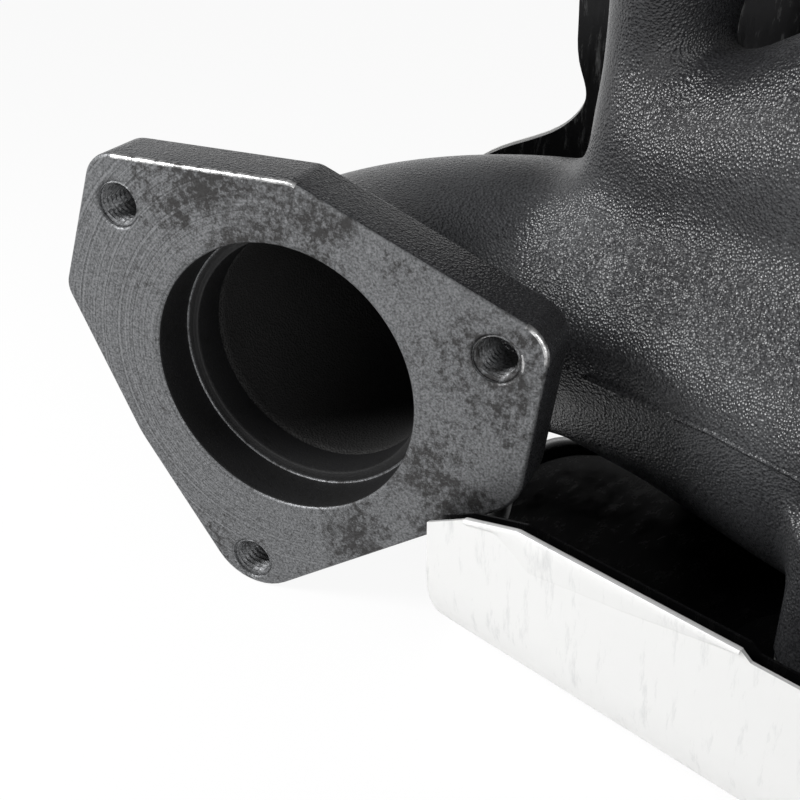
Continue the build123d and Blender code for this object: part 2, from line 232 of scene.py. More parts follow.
@dataclass(frozen=True)
class TurnedIron:
    """Grey iron faced on a lathe, then left to stain.

    Facing leaves rings about the bore; free graphite keeps the metal grey, and damp leaves darker
    blotches with a little brown in them. The feed is really about 0.2 mm a turn, and is drawn at
    0.6 mm so that the rings show.
    """

    name: str = "turned_cast_iron"
    metal: str = "#464748"
    bright: str = "#808183"
    stain: str = "#242221"
    feed_mm: float = 0.6
    grain_mm: float = 0.5
    blotch_mm: float = 15.0
    speck_mm: float = 1.7
    damp_spots: tuple[Point, ...] = (
        (47.5, 17.3, 16.4), (4.7, 1.7, 42.0), (-10.0, -3.6, 40.0), (34.6, 12.6, -22.0),
        (18.0, 6.5, -38.0),
    )
    damp_reach_mm: float = 24.0
    damp_core_mm: float = 5.0
    rings_gone_mm: float = 22.0
    rings_full_mm: float = -30.0
    metallic: float = 0.6
    roughness: float = 0.46

    def build(self) -> Material:
        """Makes the material.

        Returns:
            The material, ready for a piece.
        """
        material, tree, place = blank_material(self.name)
        across = add_node(tree, "VectorMath", {
            0: place, 1: tuple(OUTLET_RIGHT),
        }, operation="DOT_PRODUCT")
        axes = add_node(tree, "SeparateXYZ", {0: place})
        flat = add_node(tree, "CombineXYZ", {0: across.outputs["Value"], 1: axes.outputs["Z"]})
        reach = add_node(tree, "VectorMath", {0: flat.outputs[0]}, operation="LENGTH")
        rings = add_node(tree, "TexNoise", {
            "W": reach.outputs["Value"], "Scale": per_metre(self.feed_mm), "Detail": 3.0,
            "Roughness": 0.7,
        }, noise_dimensions="1D")
        grain = add_node(tree, "TexNoise", {
            "Vector": place, "Scale": per_metre(self.grain_mm), "Detail": 4.0,
        })
        blotch = add_node(tree, "TexNoise", {
            "Vector": place, "Scale": per_metre(self.blotch_mm), "Detail": 6.0, "Roughness": 0.68,
        })
        speck = add_node(tree, "TexNoise", {
            "Vector": place, "Scale": per_metre(self.speck_mm), "Detail": 5.0, "Roughness": 0.75,
        })
        # damp has stood beside the second stud hole, at the top and below
        damp: Any = 0.0
        for spot in self.damp_spots:
            near = add_node(tree, "VectorMath", {
                0: place, 1: tuple(n * MM for n in spot),
            }, operation="DISTANCE")
            wet = add_node(tree, "MapRange", {
                "Value": near.outputs["Value"], "From Min": self.damp_reach_mm * MM,
                "From Max": self.damp_core_mm * MM,
            })
            deeper = add_node(tree, "Math", {0: damp, 1: wet.outputs[0]}, operation="MAXIMUM")
            damp = deeper.outputs[0]
        # the tool mark is plain on the left and rubbed away on the right
        kept = add_node(tree, "MapRange", {
            "Value": across.outputs["Value"],
            "From Min": self.rings_gone_mm * MM, "From Max": self.rings_full_mm * MM,
            "To Min": 0.12, "To Max": 1.0,
        })
        ridge = add_node(tree, "MapRange", {
            "Value": rings.outputs["Fac"], "From Min": 0.3, "From Max": 0.7, "To Min": -0.5,
            "To Max": 0.5,
        })
        marked = add_node(tree, "Math", {
            0: ridge.outputs[0], 1: kept.outputs[0],
        }, operation="MULTIPLY")
        shine = add_node(tree, "Math", {
            0: marked.outputs[0], 1: 0.3, 2: grain.outputs["Fac"],
        }, operation="MULTIPLY_ADD")
        tone = add_node(tree, "MapRange", {
            "Value": shine.outputs[0], "From Min": 0.3, "From Max": 0.72,
        })
        base = add_node(tree, "Mix", {
            0: tone.outputs[0], 6: linear(self.metal), 7: linear(self.bright),
        }, data_type="RGBA")
        spots = add_node(tree, "Math", {
            0: speck.outputs["Fac"], 1: blotch.outputs["Fac"],
        }, operation="MULTIPLY")
        edge = add_node(tree, "MapRange", {
            "Value": damp, "To Min": 0.325, "To Max": 0.225,
        })
        over = add_node(tree, "Math", {
            0: spots.outputs[0], 1: edge.outputs[0],
        }, operation="SUBTRACT")
        spread = add_node(tree, "MapRange", {
            "Value": over.outputs[0], "From Min": -0.03, "From Max": 0.06, "To Max": 0.85,
        })
        colour = add_node(tree, "Mix", {
            0: spread.outputs[0], 6: base.outputs[2], 7: linear(self.stain),
        }, data_type="RGBA")
        rough = add_node(tree, "MapRange", {
            "Value": shine.outputs[0], "From Min": 0.3, "From Max": 0.7,
            "To Min": self.roughness + 0.12, "To Max": self.roughness - 0.06,
        })
        turned = add_node(tree, "Bump", {
            "Height": marked.outputs[0], "Strength": 0.6, "Distance": 0.08 * MM,
        })
        blasted = add_node(tree, "Bump", {
            "Height": grain.outputs["Fac"], "Strength": 0.5, "Distance": 0.16 * MM,
            "Normal": turned.outputs[0],
        })
        close_material(tree, colour.outputs[2], rough.outputs[0], blasted.outputs[0], self.metallic)
        return material


@dataclass(frozen=True)
class RolledSheet:
    """Rolled sheet steel: aluminised outside, heat-darkened inside.

    Rolling leaves fine lines along the sheet, and handling leaves soft scuffs across them.
    """

    name: str
    metal: str
    scuffed: str
    roughness: float
    metallic: float
    line_mm: float = 0.5
    scuff_mm: float = 9.0
    wave_mm: float = 26.0
    wave_depth_mm: float = 0.35

    def build(self) -> Material:
        """Makes the material.

        Returns:
            The material, ready for a piece.
        """
        material, tree, place = blank_material(self.name)
        stretched = add_node(tree, "Mapping", {"Vector": place, "Scale": (0.06, 1.0, 1.0)})
        lines = add_node(tree, "TexNoise", {
            "Vector": stretched.outputs[0], "Scale": per_metre(self.line_mm), "Detail": 2.0,
        })
        lean = add_node(tree, "Mapping", {
            "Vector": place, "Scale": (2.4, 1.0, 0.45), "Rotation": (0.0, radians(28.0), 0.0),
        })
        scuff = add_node(tree, "TexNoise", {
            "Vector": lean.outputs[0], "Scale": per_metre(self.scuff_mm), "Detail": 7.0,
            "Roughness": 0.72,
        })
        wave = add_node(tree, "TexNoise", {
            "Vector": place, "Scale": per_metre(self.wave_mm), "Detail": 1.5,
        })
        worn = add_node(tree, "MapRange", {
            "Value": scuff.outputs["Fac"], "From Min": 0.55, "From Max": 0.78,
        })
        colour = add_node(tree, "Mix", {
            0: worn.outputs[0], 6: linear(self.metal), 7: linear(self.scuffed),
        }, data_type="RGBA")
        rough = add_node(tree, "MapRange", {
            "Value": scuff.outputs["Fac"], "From Min": 0.3, "From Max": 0.75,
            "To Min": self.roughness - 0.05, "To Max": self.roughness + 0.15,
        })
        buckle = add_node(tree, "Bump", {
            "Height": wave.outputs["Fac"], "Strength": 0.6, "Distance": self.wave_depth_mm * MM,
        })
        rolled = add_node(tree, "Bump", {
            "Height": lines.outputs["Fac"], "Strength": 0.25, "Distance": 0.02 * MM,
            "Normal": buckle.outputs[0],
        })
        close_material(tree, colour.outputs[2], rough.outputs[0], rolled.outputs[0], self.metallic)
        return material


@dataclass(frozen=True)
class FibreMat:
    """Needled ceramic fibre: soft, matt and matted, with no gloss at all."""

    name: str = "needled_ceramic_fibre"
    light: str = "#4A4845"
    dark: str = "#242321"
    fibre_mm: float = 1.4
    roughness: float = 0.95

    def build(self) -> Material:
        """Makes the material.

        Returns:
            The material, ready for a piece.
        """
        material, tree, place = blank_material(self.name)
        fibre = add_node(tree, "TexNoise", {
            "Vector": place, "Scale": per_metre(self.fibre_mm), "Detail": 8.0, "Distortion": 1.5,
        })
        colour = add_node(tree, "Mix", {
            0: fibre.outputs["Fac"], 6: linear(self.dark), 7: linear(self.light),
        }, data_type="RGBA")
        pile = add_node(tree, "Bump", {
            "Height": fibre.outputs["Fac"], "Strength": 0.9, "Distance": 0.5 * MM,
        })
        close_material(tree, colour.outputs[2], self.roughness, pile.outputs[0], 0.0)
        return material


@dataclass(frozen=True)
class PlatedSteel:
    """Zinc-plated steel fasteners: bright, slightly cloudy, with plating bloom."""

    name: str = "zinc_plated_steel"
    plate: str = "#A9ADB1"
    bloom: str = "#85888B"
    bloom_mm: float = 3.0
    roughness: float = 0.32

    def build(self) -> Material:
        """Makes the material.

        Returns:
            The material, ready for a piece.
        """
        material, tree, place = blank_material(self.name)
        bloom = add_node(tree, "TexNoise", {
            "Vector": place, "Scale": per_metre(self.bloom_mm), "Detail": 5.0,
        })
        colour = add_node(tree, "Mix", {
            0: bloom.outputs["Fac"], 6: linear(self.plate), 7: linear(self.bloom),
        }, data_type="RGBA")
        rough = add_node(tree, "MapRange", {
            "Value": bloom.outputs["Fac"], "To Min": self.roughness - 0.08,
            "To Max": self.roughness + 0.16,
        })
        drawn = add_node(tree, "Bump", {
            "Height": bloom.outputs["Fac"], "Strength": 0.3, "Distance": 0.06 * MM,
        })
        close_material(tree, colour.outputs[2], rough.outputs[0], drawn.outputs[0], 1.0)
        return material


@dataclass(frozen=True)
class KnittedWire:
    """Knitted steel wire cushions: crossing wires with dark gaps between them."""

    name: str = "knitted_steel_wire"
    wire: str = "#8C8C8A"
    gap: str = "#1C1B1A"
    pitch_mm: float = 0.9
    roughness: float = 0.45

    def build(self) -> Material:
        """Makes the material.

        Returns:
            The material, ready for a piece.
        """
        material, tree, place = blank_material(self.name)
        loops = add_node(tree, "TexVoronoi", {"Vector": place, "Scale": per_metre(self.pitch_mm)})
        raised = add_node(tree, "MapRange", {
            "Value": loops.outputs["Distance"], "From Min": 0.25, "From Max": 0.7,
        })
        colour = add_node(tree, "Mix", {
            0: raised.outputs[0], 6: linear(self.gap), 7: linear(self.wire),
        }, data_type="RGBA")
        knit = add_node(tree, "Bump", {
            "Height": raised.outputs[0], "Strength": 0.9, "Distance": 0.3 * MM,
        })
        close_material(tree, colour.outputs[2], self.roughness, knit.outputs[0], 0.8)
        return material


# handling has polished this edge, so it has no rings and no damp spots; its near-white colour is
# also a painted highlight of the light from above on the top edges
EDGE_WEAR_AND_HIGHLIGHT = TurnedIron(
    "rubbed_edge_painted_highlight", "#3C3C3D", "#E4E4E4", "#3A3938",
    feed_mm=40.0, grain_mm=1.6, damp_spots=(), metallic=0.75, roughness=0.28,
)
SOOTED_CAST = SandCastIron("sooted_cast_iron", "#0E0E0E", "#1B1A1A", metallic=0.0, roughness=0.75)
# the bore's finish: soot-black, darkened further as painted shade inside the bore
SOOT_AND_SHADE_TURNED = TurnedIron(
    "sooted_turned_iron_painted_shade", "#0F0F10", "#19191A", "#0C0C0C", metallic=0.2, roughness=0.55
)
ALUMINISED = RolledSheet("aluminised_steel_sheet", "#E4E4E3", "#C4C5C5", 0.36, 0.45)
LINER = RolledSheet("heat_darkened_liner_sheet", "#1D1D1E", "#343434", 0.2, 0.85, wave_depth_mm=0.7)
# the rear wall's inner skin is drawn lighter than the pan's, with bright fine scuffs: partly
# handling scuffs, partly painted reflection
REAR_LINER_SCUFF_AND_REFLECTION = RolledSheet(
    "rear_liner_sheet_scuffs_and_painted_reflection", "#252526", "#7A7A7A", 0.2, 0.85, scuff_mm=5.0, wave_depth_mm=0.7
)


# ---------------------------------------------------------------------------- distance fields


# a duct answers FAR to points more than DUCT_REACH outside it, in millimetres
FAR = 60.0
DUCT_REACH = 26.0
POINTS_AT_ONCE = 150_000
SLABS_AT_ONCE = 24


def catmull(keys: Array, count: int) -> Array:
    """Runs a smooth curve through rows of numbers.

    Args:
        keys: one row for each key, its first three columns a place in millimetres.
        count: how many rows to return.

    Returns:
        Rows spaced evenly by the chord length between keys.
    """
    chord = np.concatenate(([0.0], np.cumsum(np.linalg.norm(np.diff(keys[:, :3], axis=0), axis=1))))
    slope = np.gradient(keys, chord, axis=0)
    at = np.linspace(0.0, chord[-1], count)
    seg = np.clip(np.searchsorted(chord, at, side="right") - 1, 0, len(chord) - 2)
    width = (chord[seg + 1] - chord[seg])[:, None]
    t = (at[:, None] - chord[seg][:, None]) / width
    return (
        (2 * t**3 - 3 * t**2 + 1) * keys[seg]
        + (t**3 - 2 * t**2 + t) * width * slope[seg]
        + (3 * t**2 - 2 * t**3) * keys[seg + 1]
        + (t**3 - t**2) * width * slope[seg + 1]
    )


def smooth_min(a: Array, b: Array, blend: float) -> Array:
    """Joins two distances with a fillet about blend millimetres across."""
    gap = np.maximum(blend - np.abs(a - b), 0.0) / blend
    return np.minimum(a, b) - gap * gap * blend * 0.25


@dataclass
class Duct:
    """An oval duct that follows a line of section centres.

    Attributes:
        centres: section centres, one row each.
        sides: unit vectors along each section's first half size.
        rises: unit vectors along each section's second half size.
        halves: the two half sizes of each section.
    """

    centres: Array
    sides: Array
    rises: Array
    halves: Array

    def __post_init__(self) -> None:
        """Works out the direction and the spacing of the sections."""
        self.along = np.gradient(self.centres, axis=0)
        self.spacing = np.linalg.norm(self.along, axis=1)
        self.along = self.along / self.spacing[:, None]
        reach = self.halves.max() + DUCT_REACH
        self.low = self.centres.min(axis=0) - reach
        self.high = self.centres.max(axis=0) + reach

    def distance(self, points: Array) -> Array:
        """Returns the signed distance of each point from the duct's outside, roughly.

        Args:
            points: places in millimetres, one row each.

        Returns:
            Millimetres, negative inside. Points far from the duct get a large number.
        """
        result = np.full(len(points), FAR)
        near = np.flatnonzero(np.all((points > self.low) & (points < self.high), axis=1))
        for start in range(0, len(near), POINTS_AT_ONCE):
            chosen = near[start:start + POINTS_AT_ONCE]
            result[chosen] = self._near_distance(points[chosen])
        return result

    def _near_distance(self, points: Array) -> Array:
        """Returns the distance for points close enough to matter.

        Args:
            points: places in millimetres, one row each.

        Returns:
            Millimetres, negative inside.
        """
        last = len(self.centres) - 1
        square = (self.centres**2).sum(axis=1)[None, :] - 2.0 * points @ self.centres.T
        nearest = square.argmin(axis=1)
        ahead = ((points - self.centres[nearest]) * self.along[nearest]).sum(axis=1)
        at = nearest + ahead / self.spacing[nearest]
        over = np.maximum(-at, at - last) * self.spacing[nearest]
        at = np.clip(at, 0.0, last)
        low = np.minimum(at.astype(int), last - 1)
        t = (at - low)[:, None]
        centre = self.centres[low] * (1 - t) + self.centres[low + 1] * t
        side = self.sides[low] * (1 - t) + self.sides[low + 1] * t
        rise = self.rises[low] * (1 - t) + self.rises[low + 1] * t
        half = self.halves[low] * (1 - t) + self.halves[low + 1] * t
        away = points - centre
        u = (away * side).sum(axis=1) / half[:, 0]
        v = (away * rise).sum(axis=1) / half[:, 1]
        ratio = np.sqrt(u * u + v * v) + 1e-6
        slope = np.sqrt((u / half[:, 0]) ** 2 + (v / half[:, 1]) ** 2) + 1e-6
        return np.maximum(ratio * (ratio - 1.0) / slope, over)


def ellipse_stations(
    stations: Sequence[Station], shift: float, count: int
) -> tuple[Array, Array, Array, Array]:
    """Turns (x, y, z, climb, half_y, half_rise) keys into dense section data.

    Args:
        stations: the keys, with climb in degrees.
        shift: millimetres to move them along X.
        count: how many sections to return.

    Returns:
        Centres, sides, rises and halves, as Duct takes them.
    """
    rows = catmull(np.array(stations, dtype=float), count)
    centres = rows[:, :3] + np.array((shift, 0.0, 0.0))
    climb = np.radians(rows[:, 3])
    sides = np.tile((0.0, 1.0, 0.0), (count, 1))
    rises = np.stack((-np.sin(climb), np.zeros(count), np.cos(climb)), axis=1)
    return centres, sides, rises, rows[:, 4:6]


def surface_net(values: Array, low: Array, step: float) -> tuple[Array, Array]:
    """Meshes the zero surface of a grid of distances with quads.

    Args:
        values: distances on a regular grid, negative inside.
        low: the place of the grid's first corner.
        step: the grid's spacing.

    Returns:
        Vertex places and quads of vertex indices, facing outward.
    """
    cells = tuple(n - 1 for n in values.shape)
    total = np.zeros(cells + (3,), dtype=np.float32)
    hits = np.zeros(cells, dtype=np.float32)
    corners = [(i, j, k) for i in (0, 1) for j in (0, 1) for k in (0, 1)]

    def corner(c: Sequence[int]) -> Array:
        """Returns one corner's value for every cell."""
        return values[c[0]:c[0] + cells[0], c[1]:c[1] + cells[1], c[2]:c[2] + cells[2]]

    for a in corners:
        for axis in range(3):
            if a[axis]:
                continue
            b = tuple(1 if n == axis else a[n] for n in range(3))
            va, vb = corner(a), corner(b)
            cross = (va < 0) != (vb < 0)
            t = np.where(cross, va / np.where(cross, va - vb, 1.0), 0.0)
            hits += cross
            for n in range(3):
                total[..., n] += np.where(cross, a[n] + (t if n == axis else 0.0), 0.0)
    live = hits > 0
    number = np.full(cells, -1, dtype=np.int64)
    number[live] = np.arange(live.sum())
    places = np.argwhere(live) + total[live] / hits[live][:, None]
    quads = []
    for axis in range(3):
        one, two = (axis + 1) % 3, (axis + 2) % 3
        first = [slice(1, n - 1) for n in values.shape]
        second = list(first)
        first[axis] = slice(0, values.shape[axis] - 1)
        second[axis] = slice(1, values.shape[axis])
        va, vb = values[tuple(first)], values[tuple(second)]
        for outward in (True, False):
            start, end = (va, vb) if outward else (vb, va)
            here = np.argwhere((start < 0) & (end >= 0))
            here = here + np.array([0 if n == axis else 1 for n in range(3)])
            ring = []
            for d1, d2 in ((-1, -1), (0, -1), (0, 0), (-1, 0)):
                cell = here.copy()
                cell[:, one] += d1
                cell[:, two] += d2
                ring.append(number[cell[:, 0], cell[:, 1], cell[:, 2]])
            quad = np.stack(ring, axis=1)
            quads.append(quad if outward else quad[:, ::-1])
    return low + places * step, np.concatenate(quads)


# ---------------------------------------------------------------------------- meshes


# cosines above which a face lies flat, belongs to the face beside it, or is part of an edge
FLAT = 0.98
FACING = 0.35
EDGE = 0.2


def link_new(name: str, data: bpy.types.ID) -> Piece:
    """Makes an object round its data and links it to the scene."""
    made = bpy.data.objects.new(name, data)
    bpy.context.scene.collection.objects.link(made)
    return made


def add_piece(
    name: str, points: Array, faces: Sequence[Sequence[int]], material: Material,
    smooth: bool = True,
) -> Piece:
    """Makes an object from places in millimetres.

    Args:
        name: the piece's name.
        points: vertex places, one row each.
        faces: vertex indices of each face.
        material: its first finish.
        smooth: whether faces shade smoothly.

    Returns:
        The object, linked to the scene.
    """
    mesh = bpy.data.meshes.new(name)
    mesh.from_pydata((points * MM).tolist(), [], faces)
    mesh.update()
    if smooth:
        mesh.shade_smooth()
    mesh.materials.append(material)
    return link_new(name, mesh)


def settle(piece: Piece, finish: Slot, *nodes: str) -> Piece:
    """Rides a piece on the casting's body and hides the CAD nodes that it replaces.

    Args:
        piece: the piece.
        finish: its slot; not used.
        nodes: the CAD nodes that it stands for, if any.

    Returns:
        The same piece.
    """
    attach(piece, ROOT_BODY)
    if nodes:
        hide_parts(*nodes)
    LOG.info("piece %s: %d faces", piece.name, len(piece.data.polygons))
    return piece


def tidy_mesh(mesh: bpy.types.Mesh, weld: bool = False) -> None:
    """Turns every face of a closed mesh outward.

    Args:
        mesh: the mesh.
        weld: whether doubled points are joined first.
    """
    work = bmesh.new()
    work.from_mesh(mesh)
    if weld:
        bmesh.ops.remove_doubles(work, verts=work.verts, dist=0.01 * MM)
    bmesh.ops.recalc_face_normals(work, faces=work.faces)
    work.to_mesh(mesh)
    work.free()


def add_skinned(
    name: str, sections: Sequence[Sequence[Sequence[float]]], material: Material, slot: Slot,
    ring: bool = False, crisp: float | None = None,
) -> Piece:
    """Skins a row of closed sections and settles the piece.

    Args:
        name: the piece's name.
        sections: the places of each section's points, in order round it, in millimetres.
        material: its finish.
        slot: its slot.
        ring: whether the last section meets the first; both ends are capped if it doesn't.
        crisp: the angle in degrees above which edges stay crisp, if any do.

    Returns:
        The settled piece.
    """
    count, n = len(sections), len(sections[0])
    faces: list[tuple[int, ...]] = []
    for i in range(count if ring else count - 1):
        j = (i + 1) % count
        pairs = [(k, (k + 1) % n) for k in range(n)]
        faces += [(i * n + k, i * n + m, j * n + m, j * n + k) for k, m in pairs]
    if not ring:
        faces += [tuple(range(n)), tuple(reversed(range((count - 1) * n, count * n)))]
    piece = add_piece(name, np.array([p for row in sections for p in row]), faces, material)
    tidy_mesh(piece.data)
    if crisp is not None:
        piece.data.set_sharp_from_angle(angle=radians(crisp))
    return settle(piece, slot)


def outlet_spokes(count: int) -> list[tuple[float, Array]]:
    """Returns evenly spaced angles with their directions in the outlet's face."""
    angles = [tau * i / count for i in range(count)]
    return [(angle, OUTLET_RIGHT * cos(angle) + UP * sin(angle)) for angle in angles]


def filleted(corners: Sequence[Pair], radii: Sequence[float], steps: int = 10) -> list[Pair]:
    """Rounds the corners of a closed outline.

    Args:
        corners: the sharp corners in order.
        radii: one radius for each corner.
        steps: points on each rounded corner.

    Returns:
        The outline's points.
    """
    outline = []
    for i, radius in enumerate(radii):
        here = Vector(corners[i])
        back = (Vector(corners[i - 1]) - here).normalized()
        on = (Vector(corners[(i + 1) % len(corners)]) - here).normalized()
        half = back.angle(on) / 2
        centre = here + (back + on).normalized() * (radius / sin(half))
        start = here + back * (radius / np.tan(half)) - centre
        end = here + on * (radius / np.tan(half)) - centre
        sweep = start.angle(end)
        for k in range(steps + 1):
            t = k / steps
            spot = centre + (start * sin((1 - t) * sweep) + end * sin(t * sweep)) / sin(sweep)
            outline.append((spot.x, spot.y))
    return outline


def round_outline(centre: Pair, half_x: float, half_y: float, steps: int = 48) -> list[Pair]:
    """Returns an oval outline."""
    turns = [tau * i / steps for i in range(steps)]
    return [(centre[0] + half_x * cos(a), centre[1] + half_y * sin(a)) for a in turns]


def hull_of_circles(circles: Sequence[tuple[float, float, float]]) -> list[Pair]:
    """Returns the outline that a tight band round several circles takes.

    Args:
        circles: the X, the Y and the radius of each circle.

    Returns:
        The outline's points.
    """
    rims = [round_outline((cx, cy), r, r, 72) for cx, cy, r in circles]
    cloud = sorted({spot for rim in rims for spot in rim})

    def chain(points: Sequence[Pair]) -> list[Pair]:
        """Returns one half of the convex outline of sorted points."""
        kept: list[Pair] = []
        for p in points:
            while len(kept) > 1:
                (ax, ay), (bx, by) = kept[-2], kept[-1]
                if (bx - ax) * (p[1] - ay) - (by - ay) * (p[0] - ax) > 1e-9:
                    break
                kept.pop()
            kept.append(p)
        return kept[:-1]

    return chain(cloud) + chain(cloud[::-1])


def plate_mesh(
    outlines: Sequence[Sequence[Pair]], thickness: float, bevel: float, place: Matrix
) -> bpy.types.Mesh:
    """Makes a bevelled plate with holes.

    Args:
        outlines: the outside first, then each hole.
        thickness: millimetres from face to face.
        bevel: the edge break on every edge.
        place: from the plate's frame, whose -Z is into the metal, to the part's.

    Returns:
        The plate's mesh, in metres.
    """
    curve = bpy.data.curves.new("plate", "CURVE")
    curve.dimensions = "2D"
    curve.fill_mode = "BOTH"
    curve.extrude = (thickness / 2 - bevel) * MM
    curve.bevel_depth = bevel * MM
    curve.bevel_resolution = 2
    curve.offset = -bevel * MM
    for outline in outlines:
        spline = curve.splines.new("POLY")
        spline.points.add(len(outline) - 1)
        for point, (x, y) in zip(spline.points, outline):
            point.co = (x * MM, y * MM, 0.0, 1.0)
        spline.use_cyclic_u = True
    holder = link_new("plate", curve)
    mesh = bpy.data.meshes.new_from_object(holder)
    bpy.data.objects.remove(holder)
    bpy.data.curves.remove(curve)
    mesh.transform(place @ Matrix.Translation((0.0, 0.0, -thickness / 2 * MM)))
    tidy_mesh(mesh, weld=True)
    return mesh


# ---------------------------------------------------------------------------- casting


@dataclass
class ManifoldCasting:
    """The iron casting: outlet flange, elbow, log, four runners and their head pads.

    A station of a duct is its section's X, Y and Z, its climb in degrees, and its half width and
    half height. A worn and highlit edge is the stretch between two places across the flange, above
    a height; its bright finish is partly handling wear and partly a painted highlight.
    """

    wall: float = 5.4
    flange_thickness: float = 14.0
    bore_r: float = 29.6
    pilot_r: float = 32.4
    pilot_depth: float = 12.0
    stud_circle_r: float = 53.1
    stud_start: float = 18.0
    tap_r: float = 4.25
    thread_pitch: float = 1.5
    thread_depth: float = 0.75
    flange_edge: float = 0.9
    worn_and_highlit_edges: tuple[Point, ...] = ((-33.0, 6.0, 44.0), (56.0, 63.0, 15.0))
    elbow_r: float = 35.0
    bend_r: float = 45.0
    straight: float = 27.0
    port_pitch: float = 112.0
    port_1_x: float = 42.0
    port_y: float = 82.0
    head_z: float = 105.0
    pad_thickness: float = 12.0
    pad_ear: float = 31.0
    head_bolt_r: float = 4.5
    straight_sections: int = 8
    elbow_sections: int = 34
    log_sections: int = 130
    runner_sections: int = 40
    sweep_sections: int = 60
    grid: float = 1.5
    draft_grid: float = 2.6
    root_fillet: float = 4.5
    pad_fillet: float = 2.7
    flange_zone: Pair = (60.0, 45.0)
    flange_lap: float = 1.2
    pad_lap: float = 3.0
    runner_blend: float = 9.0
    log_blend: float = 14.0
    web_low: Point = (50.0, 83.0, 47.0)
    web_high_x: float = 76.0
    web_climb: float = 0.25
    web_r: float = 17.0
    web_blend: float = 12.0
    boss_r: float = 10.5
    boss_blend: float = 7.0
    rear_boss_y: Pair = (92.0, 122.0)
    pan_boss_z: Pair = (-43.2, -12.0)
    bore_spare: float = 0.9
    bore_cut: Pair = (2.0, 22.0)
    soot_reach: float = 1.2
    grid_low: Point = (-53.0, -9.0, -60.0)
    grid_high: Point = (406.0, 127.0, 105.0)
    mouth_spare: float = 0.25
    bore_sides: int = 128
    thread_lead: Pair = (0.9, 0.3)
    thread_skin: float = 0.9
    thread_rows: int = 8
    thread_sides: int = 48
    pad_ear_r: float = 10.5
    pad_waist: float = 15.0
    port_half: Pair = (12.6, 17.6)
    pad_edge: float = 0.7
    log_front: float = 36.0
    fin_run: tuple[Station, Station] = (
        (46, 81, 104, 145, 215, 285, 330), (0, 0, -2, -6, -9, -8, -2)
    )
    fin_section: tuple[Pair, ...] = ((-0.9, 1.4), (0.0, -0.9), (0.75, -0.75), (1.5, 1.4))
    flange_corners: tuple[Pair, ...] = (
        (-45.5, 47), (5, 47), (62.3, 23), (57.2, -16.6), (-13.4, -64.4), (-41, -23), (-57.5, 13)
    )
    flange_radii: tuple[float, ...] = (8, 6, 8, 12, 13.5, 30, 6)
    log: tuple[Station, ...] = (
        (60, 85.6, -1, -4, 35.8, 36),
        (95, 84.6, -5, -5, 36.6, 38),
        (145, 83, -9, -3, 37, 38),
        (215, 82, -11, 0, 36, 36.5),
        (285, 82, -10, 4, 33, 33.5),
        (332, 82, -2, 22, 30, 29),
        (360, 82, 17, 52, 26.5, 25),
        (374, 82, 45, 78, 23, 20.5),
        (378, 82, 75, 90, 21.5, 18),
        (378, 82, 112, 90, 23, 18),
    )
    first_runner: tuple[Station, ...] = (
        (33, 84.5, 8, 84, 21, 16),
        (36, 84, 42, 85, 17.5, 12.4),
        (38.5, 83, 72, 83, 16.5, 12.4),
        (41, 82, 90, 85, 19.5, 14),
        (42, 82, 112, 90, 23, 18),
    )
    sweeping_runner: tuple[Station, ...] = (
        (-106, 85, 6, 20, 22, 20),
        (-84, 84, 32, 26, 20, 30),
        (-56, 83, 52, 31, 18.5, 33),
        (-28, 82, 70, 43, 18, 26),
        (-7, 82, 88, 69, 20.5, 20),
        (0, 82, 112, 90, 23, 18),
    )
    rear_bosses: tuple[Pair, ...] = ((104, -4), (216, -6), (322, -4))
    pan_bosses: tuple[Pair, ...] = ((112, 51), (224, 51), (330, 52))
    ducts: list[Duct] = field(default_factory=list)

    def __post_init__(self) -> None:
        """Lays out the ducts."""
        into = -OUTLET_NORMAL
        bend_start = into * self.straight
        self.bend_centre = bend_start + OUTLET_RIGHT * self.bend_r
        start = self.flange_thickness - 0.5
        depth = np.linspace(start, self.straight, self.straight_sections)[:-1]
        turn = np.linspace(0.0, pi / 2 + OUTLET_TURN, self.elbow_sections)
        heading = [into] * len(depth) + [into * cos(a) + OUTLET_RIGHT * sin(a) for a in turn]
        centres = [into * d for d in depth]
        centres += [
            self.bend_centre + self.bend_r * (-OUTLET_RIGHT * cos(a) + into * sin(a)) for a in turn
        ]
        elbow = np.array(centres)
        sides = np.cross(UP, np.array(heading))
        rises = np.tile(UP, (len(elbow), 1))
        halves = np.full((len(elbow), 2), self.elbow_r)
        keys = ((*elbow[-1], 0.0, self.elbow_r, self.elbow_r), *self.log)
        run = ellipse_stations(keys, 0.0, self.log_sections)
        self.ducts = [
            Duct(
                np.concatenate((elbow[:-1], run[0])),
                np.concatenate((sides[:-1], run[1])),
                np.concatenate((rises[:-1], run[2])),
                np.concatenate((halves[:-1], run[3])),
            ),
            Duct(*ellipse_stations(self.first_runner, 0.0, self.runner_sections)),
        ]
        for port in (1, 2):
            shift = self.port_1_x + self.port_pitch * port
            run = ellipse_stations(self.sweeping_runner, shift, self.sweep_sections)
            self.ducts.append(Duct(*run))

    def port_xs(self) -> list[float]:
        """Returns the X of each port."""
        return [self.port_1_x + self.port_pitch * i for i in range(4)]

    def outside(self, points: Array) -> Array:
        """Returns the distance from the outside of the casting, fillets included.

        Args:
            points: places in millimetres, one row each.

        Returns:
            Millimetres, negative inside.
        """
        log, first, second, third = (duct.distance(points) for duct in self.ducts)
        sweeping = smooth_min(second, third, self.runner_blend)
        body = smooth_min(log, smooth_min(sweeping, first, self.runner_blend), self.log_blend)
        x, y, z = points.T
        # a web fills the crotch between the first two runners
        low_x, web_y, low_z = self.web_low
        along = np.clip(x, low_x, self.web_high_x)
        climb = self.web_climb * (along - low_x)
        web = np.sqrt((x - along) ** 2 + (y - web_y) ** 2 + (z - low_z - climb) ** 2) - self.web_r
        body = smooth_min(body, web, self.web_blend)
